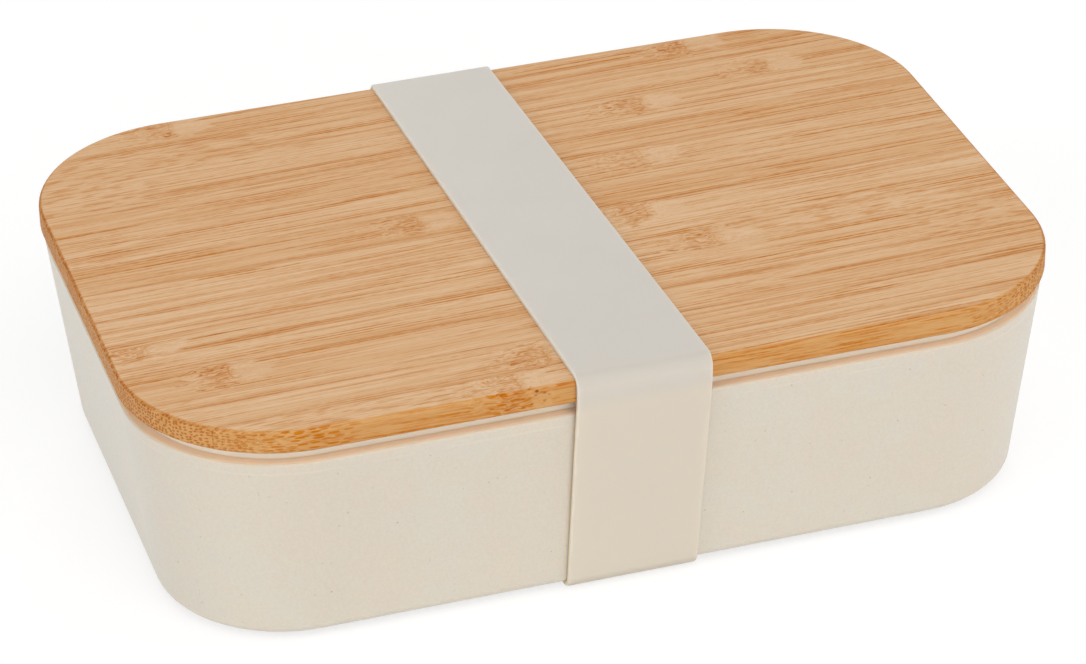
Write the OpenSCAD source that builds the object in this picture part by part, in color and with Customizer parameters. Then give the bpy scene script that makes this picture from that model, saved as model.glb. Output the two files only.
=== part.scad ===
// Bento lunch box: a moulded tray, a bamboo lid glued up from strips, a seal ring round the lid's
// plug, and an elastic strap that loops round the middle. Millimetres, +Z up. The origin is on the
// surface that the box stands on, under the middle of the tray. X runs along the long side.

/* [Lid] */
// Length of the lid
lid_l = 195; // [160:1:230]
// Width of the lid
lid_w = 132; // [110:1:150]
// Corner radius of the lid, seen from above
lid_corner_r = 33; // [28:0.5:40]
// Thickness of the lid's edge, outside its plug
lid_edge_t = 5; // [4:0.1:8]
// Radius of the lid's top edge
lid_top_r = 1; // [0.6:0.1:1.5]
// Radius of the lid's lower edge
lid_low_r = 0.5; // [0.3:0.1:0.8]
// Height of the plug under the lid's edge
plug_h = 5.5; // [5:0.1:8]
// Width of the front strip, which is cut narrower than the others
front_strip_w = 6.7; // [4:0.1:10]

/* [Tray] */
// Height of the tray, from its foot to the ledge of its rim
tray_h = 43.4; // [35:0.1:60]
// Outward lean of the tray's walls, in degrees
tray_draft = 6.6; // [3:0.1:8]
// How far the lid's edge stands out over the tray's rim
lid_overhang = 0.8; // [0:0.1:2]
// Depth of the flat ledge round the outside of the rim
ledge_w = 2.1; // [1.5:0.1:3]
// Height of the lip inside the ledge
lip_h = 1.3; // [0.8:0.1:3]
// Thickness of the lip
lip_t = 1.3; // [1:0.1:2]
// Wall thickness at the foot of the tray
wall_t = 2.6; // [1.8:0.1:3.2]
// Thickness of the floor
floor_t = 2.2; // [1.5:0.1:4]
// Radius of the tray's outer bottom edge
foot_r = 2.5; // [1.5:0.1:4]
// Radius inside, where the walls meet the floor
inner_r = 6; // [4:0.5:10]
// Width of the ring that the tray stands on
foot_w = 5; // [3:0.5:10]
// Height of the shallow recess inside that ring
recess_h = 0.8; // [0.4:0.1:1.5]

/* [Seal] */
// Thickness of the flange that the lid presses on
flange_t = 1.6; // [1:0.1:2.5]
// Thickness of the skirt between the plug and the tray
skirt_t = 1.7; // [1.4:0.1:2.5]
// How far the seal's root reaches into the plug's groove
root_d = 1; // [0.6:0.1:1.5]
// Height of that root
root_h = 1.4; // [1:0.1:2]
// Height of each of the two wipers round the skirt
wiper_h = 0.8; // [0.5:0.1:0.9]
// How far each wiper stands out from the skirt
wiper_d = 0.5; // [0.3:0.1:0.8]

/* [Strap] */
// Width of the strap
strap_w = 27.5; // [15:0.5:45]
// Thickness of the strap
strap_t = 1.1; // [0.8:0.1:2]
// Outer radius of the strap's bend over the lid's edge
strap_bend_r = 3; // [2.5:0.1:4]

/* [Hidden] */
STRIPS = 12;
WIPERS = 2;

ARC_STEPS = 8;
BEND_STEPS = 12;
$fn = 96;

// Clearances: round faces of separate pieces, and the seal's wipers in the tray's mouth
gap = 0.3;
wiper_gap = 0.3;

// Small radii and chamfers
rim_r = 0.5;
lip_r = 0.4;
plug_chamfer = 0.6;
recess_slope = 1;

// Heights above the surface that the box stands on
foot_z = strap_t;
floor_z = foot_z + recess_h + floor_t;
ledge_z = foot_z + tray_h;
lip_z = ledge_z + lip_h;
under_z = lip_z + flange_t;
top_z = under_z + lid_edge_t;
plug_z = under_z - plug_h;

// Every ring of the tray, seal and lid turns about the same four corner centres,
// so a radius below is a distance outwards from the line that joins them.
centre_x = lid_l / 2 - lid_corner_r;
centre_y = lid_w / 2 - lid_corner_r;

// Radii of the tray: outside at the rim and foot, the lip, and inside at the mouth and floor
rim_out = lid_corner_r - lid_overhang;
foot_out = rim_out - tray_h * tan(tray_draft);
lip_out = rim_out - ledge_w;
mouth_in = lip_out - lip_t;
floor_in = foot_out - wall_t;
inner_lean = atan((mouth_in - floor_in) / (lip_z - floor_z));
foot_arc = foot_out + foot_r * tan(tray_draft) - foot_r / cos(tray_draft);
inner_arc = floor_in + inner_r * tan(inner_lean) - inner_r / cos(inner_lean);
foot_in = foot_arc - foot_w;

// Radii of the seal and plug, from the tray's inner wall at the foot of the skirt
skirt_z = plug_z + plug_chamfer;
wall_at_skirt = mouth_in - (lip_z - skirt_z) * tan(inner_lean);
skirt_out = wall_at_skirt - wiper_gap - wiper_d;
plug_out = skirt_out - skirt_t;
groove_in = plug_out - root_d;
flange_out = lip_out;
root_z = (skirt_z + lip_z - root_h) / 2;

// Strips of the lid: one narrow strip at the front, and the rest share what is left
strip_w = (lid_w - front_strip_w) / (STRIPS - 1);

// The strap, seen from the end of the box
strap_side = lid_w / 2 + gap;
bend_in_r = lid_top_r + gap;
foot_bend_r = foot_r + gap;
foot_bend_y = centre_y + foot_arc;
foot_bend_z = foot_z + foot_bend_r;

function strip_name(i) = str("lid_strip_", i < 9 ? "0" : "", i + 1);

function arc(x, y, r, from, to, steps) =
    [for (i = [0 : steps]) let (a = from + (to - from) * i / steps) [x + r * cos(a), y + r * sin(a)]];

// Angle at which a line from the point (x, y) meets a circle of radius r round the origin
function tangent(x, y, r) = atan2(y, x) - acos(r / norm([x, y]));

function mirrored(points) = [for (i = [len(points) - 1 : -1 : 0]) [-points[i][0], points[i][1]]];

// One side of the strap's outline at a distance d from its inner face, from the lid to the foot
function strap_outline(d, bend_r) =
    let (side = strap_side + d, r = foot_bend_r + d,
         meet = tangent(side - foot_bend_y, under_z - foot_bend_z, r))
    concat(
        arc(foot_bend_y, foot_bend_z, r, -90, meet, BEND_STEPS),
        [[side, under_z]],
        arc(side - bend_r, top_z + d - bend_r, bend_r, 0, 90, BEND_STEPS));

// Carries an outline, drawn as radius against height, round a rounded rectangle
module round_the_box() {
    for (quarter = [0 : 3]) {
        long = quarter % 2 == 0;
        across = long ? centre_x : centre_y;
        along = long ? centre_y : centre_x;
        rotate([0, 0, 90 * quarter]) translate([across, along, 0]) {
            rotate_extrude(angle = 90) children();
            rotate([90, 0, 0]) linear_extrude(2 * along) children();
        }
    }
}

// The flat middle of a part that reaches all the way in
module middle_block(low, high) {
    translate([-centre_x, -centre_y, low]) cube([2 * centre_x, 2 * centre_y, high - low]);
}

module tray_outline() {
    recess_z = foot_z + recess_h;
    polygon(concat(
        [[0, recess_z], [foot_in - recess_slope, recess_z], [foot_in, foot_z]],
        arc(foot_arc, foot_z + foot_r, foot_r, -90, -tray_draft, ARC_STEPS),
        arc(rim_out - rim_r, ledge_z - rim_r, rim_r, 0, 90, ARC_STEPS / 2),
        [[lip_out, ledge_z]],
        arc(lip_out - lip_r, lip_z - lip_r, lip_r, 0, 90, ARC_STEPS / 2),
        arc(mouth_in + lip_r, lip_z - lip_r, lip_r, 90, 180, ARC_STEPS / 2),
        arc(inner_arc, floor_z + inner_r, inner_r, -inner_lean, -90, ARC_STEPS),
        [[0, floor_z]]));
}

module tray() {
    color("#DAD3C4") {
        round_the_box() tray_outline();
        middle_block(foot_z + recess_h, floor_z);
    }
}

// A ring with a flange under the lid's edge, a root in the plug's groove and wipers on its skirt
module seal_outline() {
    wiper_step = (lip_z - skirt_z) / (WIPERS + 1);
    polygon(concat(
        [[plug_out, skirt_z], [skirt_out, skirt_z]],
        [for (i = [1 : WIPERS], side = [-1 : 1])
            [skirt_out + (side == 0 ? wiper_d : 0), skirt_z + i * wiper_step + side * wiper_h / 2]],
        [[skirt_out, lip_z], [flange_out, lip_z], [flange_out, under_z], [plug_out, under_z],
         [plug_out, root_z + root_h], [groove_in, root_z + root_h],
         [groove_in, root_z], [plug_out, root_z]]));
}

module seal() {
    color("#E6E0D4") round_the_box() seal_outline();
}

module lid_outline() {
    polygon(concat(
        [[0, plug_z], [plug_out - plug_chamfer, plug_z], [plug_out, skirt_z],
         [plug_out, root_z], [groove_in, root_z], [groove_in, root_z + root_h],
         [plug_out, root_z + root_h], [plug_out, under_z]],
        arc(lid_corner_r - lid_low_r, under_z + lid_low_r, lid_low_r, -90, 0, ARC_STEPS / 2),
        arc(lid_corner_r - lid_top_r, top_z - lid_top_r, lid_top_r, 0, 90, ARC_STEPS),
        [[0, top_z]]));
}

module lid_board() {
    round_the_box() lid_outline();
    middle_block(plug_z, top_z);
}

// One strip of the glued board, counted from the front
module lid_strip(i) {
    front = i == 0 ? 0 : front_strip_w + (i - 1) * strip_w;
    width = i == 0 ? front_strip_w : strip_w;
    color(i % 2 == 0 ? "#D6A87C" : "#CFA072") intersection() {
        lid_board();
        translate([-lid_l / 2, front - lid_w / 2, plug_z]) cube([lid_l, width, top_z - plug_z]);
    }
}

module strap() {
    inner = strap_outline(0, bend_in_r);
    outer = strap_outline(strap_t, strap_bend_r);
    color("#D1CCC3")
        rotate([90, 0, 90])
            translate([0, 0, -strap_w / 2])
                linear_extrude(strap_w)
                    difference() {
                        polygon(concat(outer, mirrored(outer)));
                        polygon(concat(inner, mirrored(inner)));
                    }
}

tray();
seal();
strap();
for (i = [0 : STRIPS - 1])
    lid_strip(i);
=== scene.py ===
import math
from collections import namedtuple

import bmesh
import bpy
from mathutils import Matrix, Vector


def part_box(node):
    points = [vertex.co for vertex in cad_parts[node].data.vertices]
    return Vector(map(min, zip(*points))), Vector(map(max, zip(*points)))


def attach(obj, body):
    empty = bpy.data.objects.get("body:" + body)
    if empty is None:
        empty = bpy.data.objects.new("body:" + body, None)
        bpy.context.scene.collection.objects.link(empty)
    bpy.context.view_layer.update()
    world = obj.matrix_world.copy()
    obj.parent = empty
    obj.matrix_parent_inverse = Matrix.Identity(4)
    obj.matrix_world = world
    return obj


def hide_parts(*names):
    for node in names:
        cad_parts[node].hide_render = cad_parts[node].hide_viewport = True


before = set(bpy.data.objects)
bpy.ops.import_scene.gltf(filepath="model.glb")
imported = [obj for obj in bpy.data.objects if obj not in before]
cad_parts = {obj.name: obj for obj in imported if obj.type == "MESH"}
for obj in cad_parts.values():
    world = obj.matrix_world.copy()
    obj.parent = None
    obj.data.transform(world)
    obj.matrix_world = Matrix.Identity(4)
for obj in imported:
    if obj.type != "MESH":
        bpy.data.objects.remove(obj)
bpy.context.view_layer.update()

# One millimetre, in the scene's metres
MM = 0.001


def add_object(name, data):
    """A new object of the scene, which holds data."""
    made = bpy.data.objects.new(name, data)
    bpy.context.scene.collection.objects.link(made)
    return made


# ---------------------------------------------------------------- camera

CAMERA_TARGET = Vector((-0.00277, -0.01206, 0.03115))
CAMERA_AZIMUTH = math.radians(-17.5)
CAMERA_ELEVATION = math.radians(30.76)
CAMERA_ROLL = math.radians(-0.97)
CAMERA_DISTANCE = 0.9079
CAMERA_LENS_MM = 144.8


def make_camera():
    flat = math.cos(CAMERA_ELEVATION)
    back = Vector((math.sin(CAMERA_AZIMUTH) * flat, -math.cos(CAMERA_AZIMUTH) * flat,
                   math.sin(CAMERA_ELEVATION)))
    right = Vector((0, 0, 1)).cross(back).normalized()
    up = back.cross(right)
    turn = Matrix((right, up, back)).transposed() @ Matrix.Rotation(CAMERA_ROLL, 3, "Z")
    data = bpy.data.cameras.new("camera")
    data.lens = CAMERA_LENS_MM
    camera = add_object("camera", data)
    camera.matrix_world = Matrix.Translation(CAMERA_TARGET + CAMERA_DISTANCE * back) @ turn.to_4x4()
    bpy.context.scene.camera = camera


# ---------------------------------------------------------------- node trees

# Where nearly all of a noise lies, and the middle of it
NOISE_RANGE = (0.3, 0.7)
NOISE_MIDDLE = 0.5


def colour(hex_code):
    """A linear colour from the sRGB hex code of how it looks under plain light."""
    def linear(value):
        return value / 12.92 if value <= 0.04045 else ((value + 0.055) / 1.055) ** 2.4
    return (*(linear(int(hex_code[i:i + 2], 16) / 255) for i in (0, 2, 4)), 1.0)


def grey(value):
    return (value, value, value, 1.0)


class Tree:
    """The node tree of one material. Its calls return sockets; lengths are in millimetres."""

    def __init__(self, name):
        self.material = bpy.data.materials.new(name)
        self.material.use_nodes = True
        self.nodes = self.material.node_tree.nodes
        self.links = self.material.node_tree.links
        self.nodes.clear()
        self.output = self.node("OutputMaterial")
        self.shader = self.node("BsdfPrincipled")
        self.links.new(self.shader.outputs["BSDF"], self.output.inputs["Surface"])

    def node(self, kind, inputs=None, **settings):
        made = self.nodes.new("ShaderNode" + kind)
        for key, value in settings.items():
            setattr(made, key, value)
        for key, value in (inputs or {}).items():
            self.put(made.inputs[key], value)
        return made

    def put(self, socket, value):
        if isinstance(value, bpy.types.NodeSocket):
            self.links.new(value, socket)
        else:
            socket.default_value = value

    def surface(self, **values):
        for key, value in values.items():
            self.put(self.shader.inputs[key.replace("_", " ")], value)

    def glow_through(self, share, depths):
        """Lets a share of the light travel inside, by a depth in millimetres for each colour."""
        longest = max(depths)
        self.surface(Subsurface_Weight=share, Subsurface_Scale=longest * MM,
                     Subsurface_Radius=[depth / longest for depth in depths])

    def math(self, operation, a, b=0.0, c=0.0):
        return self.node("Math", {0: a, 1: b, 2: c}, operation=operation).outputs[0]

    def add(self, a, b):
        return self.math("ADD", a, b)

    def times(self, a, b):
        return self.math("MULTIPLY", a, b)

    def plus_times(self, start, a, b):
        """start + a * b"""
        return self.math("MULTIPLY_ADD", a, b, start)

    def less(self, value, share=1.0):
        """1 less a share of value."""
        return self.plus_times(1.0, value, -share)

    def between(self, low, high, share):
        """low where share is 0, and high where it is 1."""
        return self.plus_times(low, share, high - low)

    def most(self, a, b):
        return self.math("MAXIMUM", a, b)

    def absolute(self, value):
        return self.math("ABSOLUTE", value)

    def away(self, value, middle, half=1.0):
        """How far value is from middle, counted in halves."""
        return self.times(self.absolute(self.add(value, -middle)), 1 / half)

    def step(self, value, start, end, low=0.0, high=1.0):
        """Goes smoothly from low, where value is at start, to high, where it is at end."""
        inputs = {"Value": value, "From Min": start, "From Max": end, "To Min": low, "To Max": high}
        return self.node("MapRange", inputs, interpolation_type="SMOOTHSTEP").outputs[0]

    def mix(self, share, low, high, mode="MIX"):
        made = self.node("Mix", {0: share, 6: low, 7: high}, data_type="RGBA", blend_type=mode)
        return made.outputs[2]

    def tint(self, share, tone, tint):
        """A share of tint, multiplied into tone."""
        return self.mix(share, tone, tint, "MULTIPLY")

    def join(self, x, y, z=0.0):
        return self.node("CombineXYZ", {0: x, 1: y, 2: z}).outputs[0]

    def split(self, vector):
        return self.node("SeparateXYZ", {0: vector}).outputs[:3]

    def vector_math(self, operation, a, b):
        return self.node("VectorMath", {0: a, 1: b}, operation=operation).outputs

    def place(self):
        """The point of the object, in millimetres."""
        return self.scaled(self.node("TexCoord").outputs["Object"], MM)

    def normal(self):
        return self.split(self.node("TexCoord").outputs["Normal"])

    def scaled(self, vector, size):
        """vector divided by size, which is one length or one for each axis."""
        sizes = size if isinstance(size, tuple) else (size,) * 3
        return self.node("Mapping", {"Vector": vector, "Scale": [1 / length for length in sizes]}).outputs[0]

    def noise(self, vector, size, detail=2.0, roughness=0.5, output="Fac"):
        """Noise with lumps of size, which is one length or one for each axis."""
        inputs = {"Vector": self.scaled(vector, size), "Scale": 1.0, "Detail": detail, "Roughness": roughness}
        return self.node("TexNoise", inputs).outputs[output]

    def cells(self, vector, size, randomness=1.0, dimensions="3D"):
        """For cells of size, how far a point is from its cell's middle, and the cell's random numbers."""
        inputs = {"Vector": self.scaled(vector, size), "Scale": 1.0, "Randomness": randomness}
        made = self.node("TexVoronoi", inputs, voronoi_dimensions=dimensions)
        return made.outputs["Distance"], self.split(made.outputs["Color"])

    def bump(self, height, depth):
        """A normal for a height from 0 to 1 over depth millimetres."""
        inputs = {"Height": height, "Distance": depth * MM, "Strength": 1.0}
        return self.node("Bump", inputs).outputs[0]


# ---------------------------------------------------------------- bamboo: the grain

# How far the grain turns from the long side of the lid, seen from above
GRAIN_TILT = math.radians(-1.7)

# How far apart in the grain each strip is cut from the last, in millimetres
GRAIN_SHIFT = (61.0, 17.3, 7.9)

# The sizes of waves and of tangles in the grain, in millimetres along a strip, sideways and
# upwards, and how far the fibres stray in them, sideways and upwards
WAVE_SIZE = (95, 12, 12)
WAVE_REACH = (1.6, 4.0)
TANGLE_SIZE = (4.5, 2.2, 4.5)
TANGLE_REACH = 3.0

# Where each strip shows its culm's joint, counted from the front: the x and y of each in
# millimetres, and how strongly it shows
KNOTS = {
    1: [(-24.3, -62.7, 0.8)], 2: [(-15.9, -54.3, 0.9)], 3: [(-76.4, -40.4, 1.0)],
    4: [(-90.5, -26.4, 0.7)], 5: [(31.5, -22.3, 0.7)], 6: [(21.7, -6.9, 0.8)],
    7: [(-24.3, 4.2, 0.7)], 8: [(28.7, 16.0, 0.55)], 10: [(36.4, 39.0, 0.7)],
    11: [(68.3, 46.7, 0.5)], 12: [(54.5, 62.0, 0.75), (-63.3, 62.0, 0.55)],
}

# Patches of a joint, in millimetres: how far along the strip the middle of each is from the joint,
# and its half length and half width
BENT_PATCH = (-2.0, 9.0, 4.6)
CROWDED_PATCH = (-2.2, 3.8, 4.0)
PALE_PATCH = (4.2, 4.6, 3.4)

# Where a patch's border begins and where it is full, how ragged it is, and the size of the fingers
# of fibre that make it ragged
PATCH_BORDER = (1.15, 0.85)
PATCH_RAGGED = 1.8
FINGER_SIZE = (4.0, 0.65, 4.0)

# The thin dark ring of a joint: its curve, how ragged it is, its half width and its half length
RING_CURVE = -0.13
RING_RAGGED = 1.8
RING_WIDTH = (0.34, 0.10)
RING_LENGTH = (2.8, 1.6)


def patch(t, point, knot, shape, fingers):
    """1 inside a joint's patch seen from above, and 0 outside it, with a ragged border between."""
    x, y, _ = t.split(point)
    shift, half_length, half_width = shape
    along = t.away(x, knot[0] + shift, half_length)
    across = t.away(y, knot[1], half_width)
    reach = t.math("SQRT", t.plus_times(t.times(along, along), across, across))
    return t.step(t.plus_times(reach, fingers, PATCH_RAGGED), *PATCH_BORDER)


def culm_joints(t, point, knots):
    """Four masks of the culm's joints: bent fibres, crowded ones, the pale patch and the dark ring."""
    fingers = t.add(t.noise(point, FINGER_SIZE, detail=1.0), -NOISE_MIDDLE)
    x, y, _ = t.split(point)
    bent, crowded, pale, ring = 0.0, 0.0, 0.0, 0.0
    for *knot, strength in knots:
        bent = t.most(patch(t, point, knot, BENT_PATCH, fingers), bent)
        crowded = t.most(t.times(patch(t, point, knot, CROWDED_PATCH, fingers), strength), crowded)
        pale = t.most(patch(t, point, knot, PALE_PATCH, fingers), pale)
        across = t.add(y, -knot[1])
        curve = t.plus_times(t.add(x, -knot[0]), t.times(across, across), RING_CURVE)
        curve = t.absolute(t.plus_times(curve, fingers, RING_RAGGED))
        line = t.times(t.step(curve, *RING_WIDTH), t.step(t.absolute(across), *RING_LENGTH))
        ring = t.most(t.times(line, strength), ring)
    return bent, crowded, pale, ring


def follow_grain(t, point, number, bent):
    """Where a point is in its strip's grain, which waves slowly, and is tangled where bent is 1."""
    turned = t.node("VectorRotate", {"Vector": point, "Angle": GRAIN_TILT}, rotation_type="Z_AXIS")
    grain = t.vector_math("ADD", turned.outputs[0], [number * shift for shift in GRAIN_SHIFT])[0]
    waves = t.split(t.noise(grain, WAVE_SIZE, detail=1.0, output="Color"))
    tangles = t.split(t.noise(grain, TANGLE_SIZE, detail=1.0, output="Color"))
    along, *section = t.split(grain)
    for i, reach in enumerate(WAVE_REACH):
        section[i] = t.plus_times(section[i], t.add(waves[i], -NOISE_MIDDLE), reach)
        tangle = t.times(t.add(tangles[i], -NOISE_MIDDLE), bent)
        section[i] = t.plus_times(section[i], tangle, TANGLE_REACH)
    return t.join(along, *section)


# ---------------------------------------------------------------- bamboo: the faces of a strip

# Tints that multiply the bamboo's colour: side and end faces, fibres cut across, the scorched top
# edge and the glue
SIDE_TINT = (0.81, 0.69, 0.47, 1.0)
END_TINT = (0.82, 0.71, 0.56, 1.0)
PORE_TINT = (0.66, 0.33, 0.03, 1.0)
EDGE_TINT = (0.84, 0.64, 0.42, 1.0)
GLUE_TINT = (0.80, 0.68, 0.52, 1.0)

# How upright the normal is where a side face, or the foot or top of the scorched edge, begins and
# where it is full
SIDE_FACE = (0.985, 0.85)
SCORCHED_FOOT = (0.25, 0.6)
SCORCHED_TOP = (0.998, 0.97)

# How far the normal turns along the lid where a face begins to cut the fibres and where it does so
# in full, and the same for one that cuts them squarely
END_FACE = (0.15, 0.8)
SQUARE_FACE = (0.84, 0.98)

# How strongly the cut fibres show, and how clouds break up the scorched edge: their range, and how
# strong it is at both ends of it
PORE_SHARE = 0.8
SCORCHED_CLOUD = (0.35, 0.6, 0.35, 1.0)

# The line where strips are glued: how far it reaches in millimetres, and how strong it is
GLUE_REACH = (0.16, 0.02)
GLUE_SHARE = 0.8

Faces = namedtuple("Faces", "side end square scorched")


def strip_faces(t):
    """Masks of side faces, of faces that cut the fibres, also squarely, and of the scorched edge."""
    normal_x, _, normal_z = t.normal()
    endward, upright = t.absolute(normal_x), t.absolute(normal_z)
    scorched = t.times(t.step(upright, *SCORCHED_FOOT), t.step(upright, *SCORCHED_TOP))
    return Faces(t.step(upright, *SIDE_FACE), t.step(endward, *END_FACE), t.step(endward, *SQUARE_FACE),
                 scorched)


def tint_faces(t, tone, faces, bundle, cloud):
    """Darkens side and end faces, the bundles that are cut across, and the edge above end grain."""
    tone = t.tint(t.times(faces.side, t.less(faces.square)), tone, SIDE_TINT)
    tone = t.tint(t.times(faces.side, faces.square), tone, END_TINT)
    pores = t.times(t.times(bundle, faces.side), t.times(faces.end, PORE_SHARE))
    tone = t.tint(pores, tone, PORE_TINT)
    scorched = t.times(faces.scorched, t.step(cloud, *SCORCHED_CLOUD))
    return t.tint(t.times(scorched, faces.end), tone, EDGE_TINT)


def tint_glue(t, tone, point, glue_low, glue_high):
    """Darkens a thin line where a strip is glued to the next."""
    y = t.split(point)[1]
    for place, inward in ((glue_low, 1), (glue_high, -1)):
        if place is not None:
            near = t.step(t.times(t.add(y, -place), inward), *GLUE_REACH, high=GLUE_SHARE)
            tone = t.tint(near, tone, GLUE_TINT)
    return tone


# ---------------------------------------------------------------- bamboo: flecks, dashes and scar

# Stretches where the cut runs through the culm's inner wall, with flecks in place of long fibres:
# the middle and half length of each, in millimetres, where its border begins and where it is full,
# and how ragged it is
FLECKED = {1: (-55, 32), 4: (88, 16), 5: (56, 26), 10: (-92, 22), 11: (-72, 36)}
FLECKED_BORDER = (1.4, 1.0)
FLECKED_RAGGED = 0.5

# What such a stretch hides of bundles, from above and on a side face, and what it hides of bands
FLECKED_HIDES = (0.7, 0.1)
FLECKED_HIDES_BAND = 0.8

# Its flecks: their size in millimetres along the strip, sideways and upwards, how they fade in, and
# how strong they are, from above and on a side face
FLECK_SIZE = (5.5, 0.9, 0.9)
FLECK_EDGE = (0.46, 0.66)
FLECK_SHARE = (0.50, 0.20)

# Where the front strip's face shows short dashes: the middle and half length of each stretch, and
# how it fades in at its ends
DASHED = ((-78, 19), (-26, 5))
DASHED_BORDER = (1.25, 0.85)

# Its dashes: their size, how one fades in within its cell, and how strong they are
DASH_SIZE = (2.9, 0.90, 0.54)
DASH_EDGE = (0.50, 0.36)
DASH_STRENGTH = (0.0, 0.5, 0.35, 1.0)

# The speckled scar on the front strip's face: where it is, its half size, and how it fades in
SCAR = (-22.5, -66.0, 50.6)
SCAR_SIZE = (4.2, 3.0, 2.6)
SCAR_BORDER = (1.1, 0.7)

# Its specks: the size of the cells that hold one each, how a speck fades in within its cell, which
# cells hold one, and a tint that multiplies the bamboo's colour
SPECK_SIZE = (1.3, 0.9, 0.9)
SPECK_EDGE = (0.42, 0.22)
SPECK_CHOICE = (0.35, 0.6)
SPECK_TINT = (0.42, 0.16, 0.05, 1.0)


def add_flecks(t, point, grain, stretch, cloud, side, streak, band):
    """The strengths of streaks and bands, with flecks in place of most of them on one stretch."""
    x = t.split(point)[0]
    flecked = t.step(t.plus_times(t.away(x, *stretch), cloud, FLECKED_RAGGED), *FLECKED_BORDER)
    fleck = t.times(t.step(t.noise(grain, FLECK_SIZE), *FLECK_EDGE), flecked)
    streak = t.times(streak, t.less(t.times(flecked, t.between(*FLECKED_HIDES, side))))
    band = t.times(band, t.less(flecked, FLECKED_HIDES_BAND))
    return streak, t.most(band, t.times(fleck, t.between(*FLECK_SHARE, side)))


def front_dashes(t, point, grain):
    """Short dashes along the grain, on the stretches of the front strip that DASHED gives."""
    distance, (strength, _, _) = t.cells(grain, DASH_SIZE)
    dash = t.times(t.step(distance, *DASH_EDGE), t.step(strength, *DASH_STRENGTH))
    x = t.split(point)[0]
    dashed = 0.0
    for middle, half in DASHED:
        dashed = t.most(t.step(t.away(x, middle, half), *DASHED_BORDER), dashed)
    return t.times(dash, dashed)


def scar_specks(t, point):
    """Dark specks of a few tenths of a millimetre, crowded round SCAR."""
    offset = t.vector_math("SUBTRACT", point, SCAR)[0]
    away = t.node("VectorMath", {0: t.scaled(offset, SCAR_SIZE)}, operation="LENGTH").outputs["Value"]
    distance, (choice, depth, _) = t.cells(point, SPECK_SIZE)
    speck = t.times(t.step(distance, *SPECK_EDGE), t.step(choice, *SPECK_CHOICE))
    return t.times(speck, t.times(t.step(away, *SCAR_BORDER), depth))


# ---------------------------------------------------------------- bamboo: the strips

BAMBOO_PALE = colour("E3C19D")
BAMBOO_TAN = colour("D6A775")

# Tints that multiply the bamboo's colour: fibres seen from above and on a side face
FIBRE_TINT = (0.76, 0.42, 0.02, 1.0)
SIDE_FIBRE_TINT = (0.84, 0.50, 0.02, 1.0)

# How tan each strip is, from the front strip to the back one, and how much its crowded fibres and
# its clouds add to that
STRIP_TAN = (0.0, 0.06, 0.22, 0.04, 0.02, 0.02, 0.36, 0.10, 0.30, 0.08, 0.26, 0.30)
CROWD_TAN = 0.25
CLOUD_TAN = 0.30

# Bundles of fibre: how far apart they are sideways and upwards, how evenly they lie and how they
# fade in, then how strong they are, from the weakest to the strongest and from sparse to crowded
BUNDLE_PITCH = (0.80, 0.68)
BUNDLE_RANDOMNESS = 0.6
BUNDLE_EDGE = (0.37, 0.26)
BUNDLE_STRENGTH = (0.20, 1.0)
CROWD_STRENGTH = (0.45, 1.0)

# The other textures: their sizes in millimetres along a strip, sideways and upwards, and how they
# fade in
BAND_SIZE = (85, 1.3, 1.3)
BAND_EDGE = (0.53, 0.64)
BAND_STRENGTH = 0.34
CROWD_SIZE = (130, 3.6, 3.6)
CROWD_EDGE = (0.38, 0.62)
FIBRE_SIZE = (28, 0.22, 0.22)
FIBRE_EDGE = (0.46, 0.62)
CLOUD_SIZE = (9, 1.5, 1.5)
HATCH_SIZE = (2.0, 0.40, 0.40)

# How the hatch breaks up bundles, fine fibres and joints: its range, and how strong they are at
# both ends of it
BUNDLE_HATCH = (0.38, 0.58, 0.64, 1.10)
FIBRE_HATCH = (0.36, 0.60, 0.22, 0.52)
KNOT_HATCH = (0.40, 0.62, 0.12, 0.60)

# How far a joint's pale patch hides bundles and pales the rest, and how strong its ring is
PALE_HIDES = 0.8
PALE_SHARE = 0.35
RING_SHARE = 0.7

# The finish: its roughness between fibres and on them, its gloss, how deep the grain is in
# millimetres, and how far fine fibres and bundles rise in it
BAMBOO_ROUGHNESS = (0.68, 0.56)
BAMBOO_GLOSS = 0.1
BAMBOO_RELIEF = 0.012
FIBRE_RISE = 0.5
BUNDLE_RISE = -0.5


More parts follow.
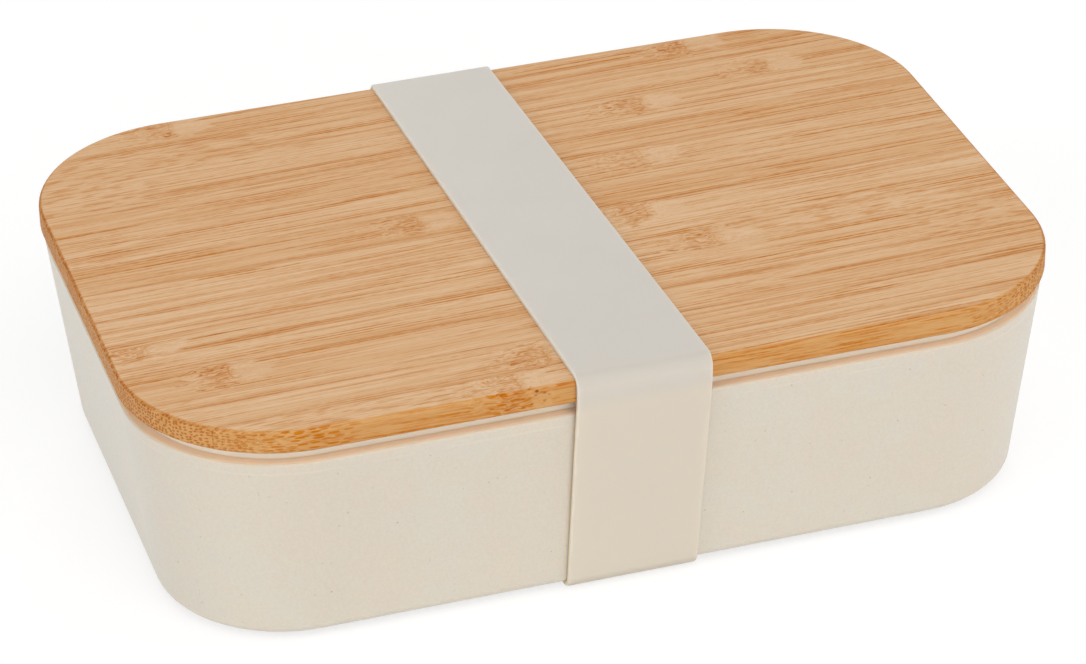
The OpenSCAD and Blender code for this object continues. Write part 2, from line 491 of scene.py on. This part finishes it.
def bamboo(number, glue_low, glue_high):
    """Long-grained bamboo: bundles of fibre run along X, so the ends of a strip show them as dots."""
    t = Tree(f"bamboo_{number:02d}")
    point = t.place()
    bent, crowded, pale, ring = culm_joints(t, point, KNOTS.get(number, []))
    grain = follow_grain(t, point, number, bent)
    section = t.join(*t.split(grain)[1:])
    distance, (weight, _, _) = t.cells(section, (*BUNDLE_PITCH, 1.0), BUNDLE_RANDOMNESS, "2D")
    bundle = t.step(distance, *BUNDLE_EDGE)
    band = t.times(t.step(t.noise(grain, BAND_SIZE), *BAND_EDGE), BAND_STRENGTH)
    crowd = t.step(t.noise(grain, CROWD_SIZE, detail=1.0), *CROWD_EDGE)
    fibre = t.noise(grain, FIBRE_SIZE, roughness=0.6)
    cloud = t.noise(grain, CLOUD_SIZE)
    hatch = t.noise(grain, HATCH_SIZE, detail=1.0)
    faces = strip_faces(t)

    tan = t.plus_times(t.plus_times(STRIP_TAN[number - 1], crowd, CROWD_TAN), cloud, CLOUD_TAN)
    tone = t.mix(tan, BAMBOO_PALE, BAMBOO_TAN)

    # Long fibres: broad bands, then bundles, then fine fibres between them
    streak = t.times(t.between(*BUNDLE_STRENGTH, weight), t.between(*CROWD_STRENGTH, crowd))
    streak = t.times(t.times(bundle, streak), t.step(hatch, *BUNDLE_HATCH))
    if number in FLECKED:
        streak, band = add_flecks(t, point, grain, FLECKED[number], cloud, faces.side, streak, band)
    if number == 1:
        streak = t.most(streak, t.times(front_dashes(t, point, grain), faces.side))
    streak = t.times(t.times(streak, t.less(pale, PALE_HIDES)), t.less(faces.end))
    fine = t.times(t.step(fibre, *FIBRE_EDGE), t.step(hatch, *FIBRE_HATCH))
    fibre_tint = t.mix(faces.side, FIBRE_TINT, SIDE_FIBRE_TINT)
    for strength in (band, streak, fine):
        tone = t.tint(strength, tone, fibre_tint)

    # The joints of the culm
    tone = t.mix(t.times(pale, PALE_SHARE), tone, BAMBOO_PALE)
    knotted = t.times(crowded, t.step(hatch, *KNOT_HATCH))
    tone = t.tint(t.most(knotted, t.times(ring, RING_SHARE)), tone, FIBRE_TINT)

    tone = tint_faces(t, tone, faces, bundle, cloud)
    if number == 1:
        tone = t.tint(scar_specks(t, point), tone, SPECK_TINT)
    tone = tint_glue(t, tone, point, glue_low, glue_high)

    height = t.plus_times(t.times(fibre, FIBRE_RISE), bundle, BUNDLE_RISE)
    t.surface(Base_Color=tone, Roughness=t.step(fibre, *NOISE_RANGE, *BAMBOO_ROUGHNESS),
              Specular_IOR_Level=BAMBOO_GLOSS, Normal=t.bump(height, BAMBOO_RELIEF))
    return t.material


def dress_lid():
    front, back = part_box("lid_strip_01")[0].y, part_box("lid_strip_12")[1].y
    for number in range(1, len(STRIP_TAN) + 1):
        name = f"lid_strip_{number:02d}"
        low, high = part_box(name)
        glue_low = None if low.y <= front else low.y / MM
        glue_high = None if high.y >= back else high.y / MM
        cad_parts[name].material_slots[0].material = bamboo(number, glue_low, glue_high)


# ---------------------------------------------------------------- tray and seal

TRAY_CREAM = colour("D8D3C9")
TRAY_WARM = colour("DAD2C6")
TRAY_DARK = colour("A79A82")
# Painted light: the lip, lighter than the tray against the shade under the lid, and the collar's painted
# highlight
RIM_LIGHT_CREAM = colour("ECE1D5")
# Painted shade for the rounded edge of the rim, darker against the light it catches
RIM_EDGE_SHADE = colour("CDBFAC")
# Painted shade: warm tan for the ledge and the lip's foot, where the lid shades them and throws back its
# colour
LEDGE_SHADE_TAN = colour("EDD9C2")
SEAL_CREAM = colour("F1E4D8")
SEAL_PALE = colour("F3E9DF")

# How far light travels in the tray's plastic and in silicone, in millimetres for each colour, and
# how much of it does
PLASTIC_DEPTH = (2.6, 1.7, 1.2)
SILICONE_DEPTH = (2.4, 2.0, 1.7)
PLASTIC_GLOW = 0.6
SEAL_GLOW = 0.6

# The sizes of the plastic's clouds, mottle and skin, how strong the mottle is, how deep the skin is
# in millimetres, and the finish
TRAY_CLOUD = 14
TRAY_MOTTLE = 0.6
TRAY_SKIN = 0.45
MOTTLE_SHARE = 0.09
TRAY_RELIEF = 0.012
TRAY_ROUGHNESS = (0.36, 0.44)
TRAY_GLOSS = 0.5

# Its dots: the size of the cells that hold one each, which cells do, the largest radius as a share
# of a cell, and how dark the faintest and darkest are
DOT_CELL = 1.7
DOT_CHOICE = (0.55, 1.0)
DOT_RADIUS = 0.13
DOT_SHARE = (0.15, 0.65)

# The ledge outside the lip, and what lies round it, where painted light and shade lie: heights above the
# ledge in millimetres, from where each begins to where it is full, and how upright the normal is on the ledge
LEDGE_Z = 44.5
EDGE_RISE = (-0.6, -0.3)
EDGE_FALL = (0.3, 0.0)
RIM_EDGE_SHADE_SHARE = 0.8
LIP_RISE = (0.1, 0.4)
LOW_LIP_RISE = (0.0, 0.1)
LOW_LIP_FALL = (0.8, 0.1)
LOW_LIP_SHARE = 0.5
LEDGE_REACH = (0.3, 0.1)
LEDGE_UPWARD = (0.85, 0.98)

# The collar, a painted highlight: a faint broken light line round the tray below its ledge, for the glint of
# a slight step in the moulding. Its height, its half width, the size of the noise that breaks it and how that
# fades it in, and how strong it is
COLLAR_Z = 42.0
COLLAR_WIDTH = (0.45, 0.05)
COLLAR_PATCH = (14, 14, 3)
COLLAR_BROKEN = (0.42, 0.58)
COLLAR_HIGHLIGHT_SHARE = 0.22

# The size of the seal's clouds in millimetres, how deep they are, and its finish
SEAL_CLOUD = 6
SEAL_RELIEF = 0.02
SEAL_ROUGHNESS = 0.5


def tray_plastic():
    """Moulded plastic with plant fibre in it: cream, half glossy, with sparse fine dots."""
    t = Tree("tray_plastic")
    point = t.place()
    cloud = t.noise(point, TRAY_CLOUD, detail=3.0)
    mottle = t.noise(point, TRAY_MOTTLE, roughness=0.6)
    tone = t.mix(t.step(cloud, *NOISE_RANGE), TRAY_CREAM, TRAY_WARM)
    tone = t.mix(t.step(mottle, *NOISE_RANGE, high=MOTTLE_SHARE), tone, TRAY_DARK)
    distance, (choice, depth, _) = t.cells(point, DOT_CELL)
    dot = t.math("LESS_THAN", distance, t.times(t.step(choice, *DOT_CHOICE), DOT_RADIUS))
    tone = t.mix(t.times(dot, t.between(*DOT_SHARE, depth)), tone, TRAY_DARK)

    # The rim, in painted light and shade: the rounded edge outside the ledge in painted shade, the lip
    # painted lighter, its foot and the ledge in painted warm shade, and the collar, a painted highlight
    z = t.split(point)[2]
    above = t.add(z, -LEDGE_Z)
    # Painted shade: the rounded edge outside the ledge is darkened, against the light that falls on it
    edge = t.times(t.step(above, *EDGE_RISE), t.step(above, *EDGE_FALL))
    tone = t.mix(t.times(edge, RIM_EDGE_SHADE_SHARE), tone, RIM_EDGE_SHADE)
    # Painted light: the lip, lighter than the tray, against the lid's shade
    tone = t.mix(t.step(above, *LIP_RISE), tone, RIM_LIGHT_CREAM)
    # Painted shade: the lip's foot, tan with the lid's shade and its warm bounce light
    lip_foot_shade = t.times(t.step(above, *LOW_LIP_RISE), t.step(above, *LOW_LIP_FALL))
    tone = t.mix(t.times(lip_foot_shade, LOW_LIP_SHARE), tone, LEDGE_SHADE_TAN)
    # Painted shade: the ledge, tan with the lid's shade and its warm bounce light
    ledge_shade = t.times(t.step(t.absolute(above), *LEDGE_REACH), t.step(t.normal()[2], *LEDGE_UPWARD))
    tone = t.mix(ledge_shade, tone, LEDGE_SHADE_TAN)
    # Painted highlight: the collar, a broken light line for the glint of a slight step in the moulding
    collar_highlight = t.step(t.away(z, COLLAR_Z), *COLLAR_WIDTH)
    broken = t.step(t.noise(point, COLLAR_PATCH), *COLLAR_BROKEN)
    tone = t.mix(t.times(t.times(collar_highlight, broken), COLLAR_HIGHLIGHT_SHARE), tone, RIM_LIGHT_CREAM)

    skin = t.noise(point, TRAY_SKIN, detail=1.0)
    t.surface(Base_Color=tone, Roughness=t.step(mottle, *NOISE_RANGE, *TRAY_ROUGHNESS),
              Specular_IOR_Level=TRAY_GLOSS, Normal=t.bump(skin, TRAY_RELIEF))
    t.glow_through(PLASTIC_GLOW, PLASTIC_DEPTH)
    return t.material


def seal_silicone():
    t = Tree("seal_silicone")
    cloud = t.noise(t.place(), SEAL_CLOUD)
    tone = t.mix(t.step(cloud, *NOISE_RANGE), SEAL_CREAM, SEAL_PALE)
    t.surface(Base_Color=tone, Roughness=SEAL_ROUGHNESS, Normal=t.bump(cloud, SEAL_RELIEF))
    t.glow_through(SEAL_GLOW, SILICONE_DEPTH)
    return t.material


def dress_tray_and_seal():
    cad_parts["tray"].material_slots[0].material = tray_plastic()
    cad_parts["seal"].material_slots[0].material = seal_silicone()


# ---------------------------------------------------------------- strap

STRAP_CREAM = colour("CFC9C1")
STRAP_PALE = colour("D1CBC3")
# Painted light: warmer, for the warm light that falls on the strap's front below the lid
STRAP_WARM_LIGHT = colour("D8CFC2")
# Painted light: the side faces lighter, for the glow of light through the silicone's thin edges
STRAP_EDGE_GLOW = colour("DAD5CC")
# Painted light: warm, for the light that comes through the silicone beside the tray
STRAP_INSIDE_GLOW = colour("F0D2A8")
# Painted shade: darker round the bends, against the light that falls most strongly there
STRAP_BEND_SHADE = (0.91, 0.91, 0.91, 1.0)
STRAP_GLOW = 0.5

# The sizes of its clouds and its skin, how deep the skin is in millimetres, and the finish
STRAP_CLOUD = 22
STRAP_SKIN = 0.35
STRAP_RELIEF = 0.008
STRAP_ROUGHNESS = (0.5, 0.6)
STRAP_GLOSS = 0.35

# The strap's loop in millimetres, as it is seen from the end of the box
STRAP_THICK = 1.1
STRAP_SIDE_Y = 66.3
STRAP_TOP_Z = 52.4
LID_UNDER_Z = 47.4
FOOT_BEND_R = 2.8
FOOT_BEND_Y = 57.95

# How round its bends over the lid and its edges are, on its inner face and on its outer one
LID_BEND_R = (1.3, 3.0)
STRAP_EDGE_R = (0.12, 0.42)

# How finely its bends, its straight runs and its edges are divided
BEND_STEPS = 12
RUN_STEPS = 20
EDGE_STEPS = 5

# The middle and width of the strap at the corners of its loop, as it was pulled on: a little askew
FRONT_FOOT = Vector((-0.1, 27.6))
FRONT_LID = Vector((0.75, 28.0))
BACK_LID = Vector((-3.3, 26.8))
BACK_FOOT = Vector((-2.9, 27.4))

# Where its painted light and shade change, from where each begins to where it is full: the height from the
# lid's underside, how far the normal turns to an end of the box, and how far round a bend
BELOW_LID = (1.5, -2.5)
EDGE_FACE = (0.2, 0.8)
BENT_FACE = (0.0, 0.5)

# The same for its inner face: how far the normal points away from the box, times the distance of
# the point from the middle of the box, in millimetres
INNER_FACE = (14, -6)


def strap_silicone():
    t = Tree("strap_silicone")
    point = t.place()
    cloud = t.noise(point, STRAP_CLOUD)
    skin = t.noise(point, STRAP_SKIN)
    tone = t.mix(t.step(cloud, *NOISE_RANGE), STRAP_CREAM, STRAP_PALE)
    _, y, z = t.split(point)
    below_lid = t.step(t.add(z, -LID_UNDER_Z), *BELOW_LID)
    # Painted light: below the lid, the front of the strap is painted warmer, for the warm light that falls
    # there
    tone = t.mix(below_lid, tone, STRAP_WARM_LIGHT)
    normal_x, normal_y, normal_z = t.normal()
    # Painted light: its side faces are painted lighter, for the glow of light through the silicone's thin
    # edges
    tone = t.mix(t.step(t.absolute(normal_x), *EDGE_FACE), tone, STRAP_EDGE_GLOW)

    # Painted shade: a little darker round its bends, against the light that falls most strongly on them
    bent = t.absolute(t.times(normal_y, normal_z))
    tone = t.tint(t.step(bent, *BENT_FACE), tone, STRAP_BEND_SHADE)

    # Painted light: beside the tray, its edges and inner face are painted warm, for the light that comes
    # through the silicone
    outward = t.times(normal_y, y)
    tone = t.mix(t.times(below_lid, t.step(outward, *INNER_FACE)), tone, STRAP_INSIDE_GLOW)
    t.surface(Base_Color=tone, Roughness=t.step(skin, *NOISE_RANGE, *STRAP_ROUGHNESS),
              Specular_IOR_Level=STRAP_GLOSS, Normal=t.bump(skin, STRAP_RELIEF))
    t.glow_through(STRAP_GLOW, SILICONE_DEPTH)
    return t.material


def arc(centre_y, centre_z, radius, start, end):
    """Points along an arc in the plane of Y and Z, from one angle in degrees to another."""
    for i in range(BEND_STEPS + 1):
        angle = math.radians(start + (end - start) * i / BEND_STEPS)
        yield Vector((centre_y + radius * math.cos(angle), centre_z + radius * math.sin(angle)))


def run(start, end):
    """Points along a straight run, without its ends."""
    for i in range(1, RUN_STEPS):
        yield start.lerp(end, i / RUN_STEPS)


def strap_side(depth, bend_r):
    """One side of the loop, depth outside its inner face, from the foot of the box to its lid."""
    side, radius = STRAP_SIDE_Y + depth, FOOT_BEND_R + depth
    foot_z = STRAP_THICK + FOOT_BEND_R
    to_y, to_z = side - FOOT_BEND_Y, LID_UNDER_Z - foot_z
    meet = math.degrees(math.atan2(to_z, to_y) - math.acos(radius / math.hypot(to_y, to_z)))
    foot = list(arc(FOOT_BEND_Y, foot_z, radius, -90, meet))
    edge = Vector((side, LID_UNDER_Z))
    lid = list(arc(side - bend_r, STRAP_TOP_Z + depth - bend_r, bend_r, 0, 90))
    return foot + list(run(foot[-1], edge)) + [edge] + lid


def strap_loop(depth, bend_r):
    """The whole loop, from the foot at the front, over the lid and under the box again."""
    back = strap_side(depth, bend_r)
    front = [Vector((-point.x, point.y)) for point in back]
    over = list(run(front[-1], back[-1]))
    return front + over + back[::-1] + list(run(back[0], front[0]))


def side_spread(foot, lid):
    """The middle and width of the strap at each point of strap_side."""
    straight = RUN_STEPS + 1
    up = [foot.lerp(lid, i / straight) for i in range(straight)]
    return [foot] * BEND_STEPS + up + [lid] * (BEND_STEPS + 1)


def strap_spread():
    """The middle and width of the strap at each point of strap_loop."""
    front, back = side_spread(FRONT_FOOT, FRONT_LID), side_spread(BACK_FOOT, BACK_LID)
    over, under = run(FRONT_LID, BACK_LID), run(BACK_FOOT, FRONT_FOOT)
    return front + list(over) + back[::-1] + list(under)


def strap_section():
    """The outline of the strap's section: how far in from its edge, which edge, and its depth."""
    quarter = [math.radians(90 * i / EDGE_STEPS) for i in range(EDGE_STEPS + 1)]
    inner, outer = ([(radius * (1 - math.sin(angle)), radius * (1 - math.cos(angle))) for angle in quarter]
                    for radius in STRAP_EDGE_R)
    edge = inner + [(inset, STRAP_THICK - depth) for inset, depth in reversed(outer)]
    return [(inset, 1, depth) for inset, depth in edge] + [(inset, -1, depth) for inset, depth in edge[::-1]]


def strap_mesh():
    """The strap's section, set at each point of its loop and joined to the next."""
    inner, outer = strap_loop(0, LID_BEND_R[0]), strap_loop(STRAP_THICK, LID_BEND_R[1])
    section = strap_section()
    points = []
    for low, high, (middle, width) in zip(inner, outer, strap_spread(), strict=True):
        for inset, sign, depth in section:
            y, z = low.lerp(high, depth / STRAP_THICK)
            points.append(Vector((middle + sign * (width / 2 - inset), y, z)) * MM)
    rows, across = len(inner), len(section)
    faces = []
    for i in range(rows):
        for j in range(across):
            here, there, beside = i * across, (i + 1) % rows * across, (j + 1) % across
            faces.append((here + j, there + j, there + beside, here + beside))
    mesh = bpy.data.meshes.new("strap_band")
    mesh.from_pydata(points, [], faces)
    made = bmesh.new()
    made.from_mesh(mesh)
    bmesh.ops.recalc_face_normals(made, faces=made.faces)
    made.to_mesh(mesh)
    made.free()
    mesh.shade_smooth()
    return mesh


def make_strap():
    mesh = strap_mesh()
    mesh.materials.append(strap_silicone())
    strap = add_object("strap_band", mesh)
    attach(strap, "strap")
    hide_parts("strap")


make_camera()
dress_lid()
dress_tray_and_seal()
make_strap()


# ---------------------------------------------------------------- stage and light

FLOOR_SIZE = 8.0
FLOOR_PAINT = 0.8
FLOOR_SEEN_PAINT = 0.35
FLOOR_GLOW = 0.70
SKY_LIGHT = 0.42

# Each softbox: where it is, its width and height, its power in watts and its colour
SOFTBOXES = [
    ((0.2, -1.6, 1.20), (1.4, 1.4), 8, (1.0, 0.93, 0.82)),
    ((0.1, -2.2, 0.32), (2.4, 0.6), 12, (1.0, 0.94, 0.85)),
    ((-2.3, -0.5, 0.95), (1.6, 1.6), 20.5, (0.98, 0.965, 0.90)),
    ((2.3, -0.5, 0.95), (1.6, 1.6), 11, (1.0, 0.98, 0.96)),
    ((0.2, 2.4, 0.95), (1.6, 1.6), 14, (0.96, 0.985, 1.0)),
    ((0.1, -0.7, 1.70), (1.2, 1.2), 6.4, (0.92, 0.96, 1.0)),
]
SOFTBOX_AIM = Vector((0, 0, 0.03))


def seen_ray(t):
    """1 for rays that a viewer sees directly, in gloss or through glass."""
    ray = t.node("LightPath").outputs
    return t.most(ray["Is Camera Ray"], t.most(ray["Is Glossy Ray"], ray["Is Transmission Ray"]))


def make_floor():
    """A white floor, which looks brighter than it lights the object and keeps its shadow."""
    t = Tree("floor_white")
    seen = seen_ray(t)
    glow = t.node("Emission", {"Color": grey(1.0), "Strength": t.times(seen, FLOOR_GLOW)})
    paint = t.node("BsdfDiffuse", {"Color": t.mix(seen, grey(FLOOR_PAINT), grey(FLOOR_SEEN_PAINT))})
    both = t.node("AddShader", {0: paint.outputs[0], 1: glow.outputs[0]})
    t.links.new(both.outputs[0], t.output.inputs["Surface"])
    t.nodes.remove(t.shader)
    mesh = bpy.data.meshes.new("floor")
    half = FLOOR_SIZE / 2
    mesh.from_pydata([(-half, -half, 0), (half, -half, 0), (half, half, 0), (-half, half, 0)],
                     [], [(0, 1, 2, 3)])
    mesh.materials.append(t.material)
    add_object("floor", mesh)


def make_world():
    """A white backdrop, which lights the object less brightly than it looks."""
    world = bpy.data.worlds.new("studio")
    world.use_nodes = True
    nodes, links = world.node_tree.nodes, world.node_tree.links
    background = nodes["Background"]
    ray = nodes.new("ShaderNodeLightPath")
    seen = nodes.new("ShaderNodeMath")
    seen.operation = "MAXIMUM"
    links.new(ray.outputs["Is Camera Ray"], seen.inputs[0])
    links.new(ray.outputs["Is Glossy Ray"], seen.inputs[1])
    strength = nodes.new("ShaderNodeMapRange")
    links.new(seen.outputs[0], strength.inputs["Value"])
    strength.inputs["To Min"].default_value = SKY_LIGHT
    strength.inputs["To Max"].default_value = 1.0
    background.inputs["Color"].default_value = grey(1.0)
    links.new(strength.outputs[0], background.inputs["Strength"])
    bpy.context.scene.world = world


def make_softboxes():
    for number, (place, size, power, tint) in enumerate(SOFTBOXES, start=1):
        lamp = bpy.data.lights.new(f"softbox_{number}", "AREA")
        lamp.shape = "RECTANGLE"
        lamp.size, lamp.size_y = size
        lamp.energy = power
        lamp.color = tint
        box = add_object(lamp.name, lamp)
        box.location = place
        box.rotation_euler = (SOFTBOX_AIM - Vector(place)).to_track_quat("-Z", "Y").to_euler()


make_floor()
make_world()
make_softboxes()
bpy.context.scene.view_settings.view_transform = "Standard"
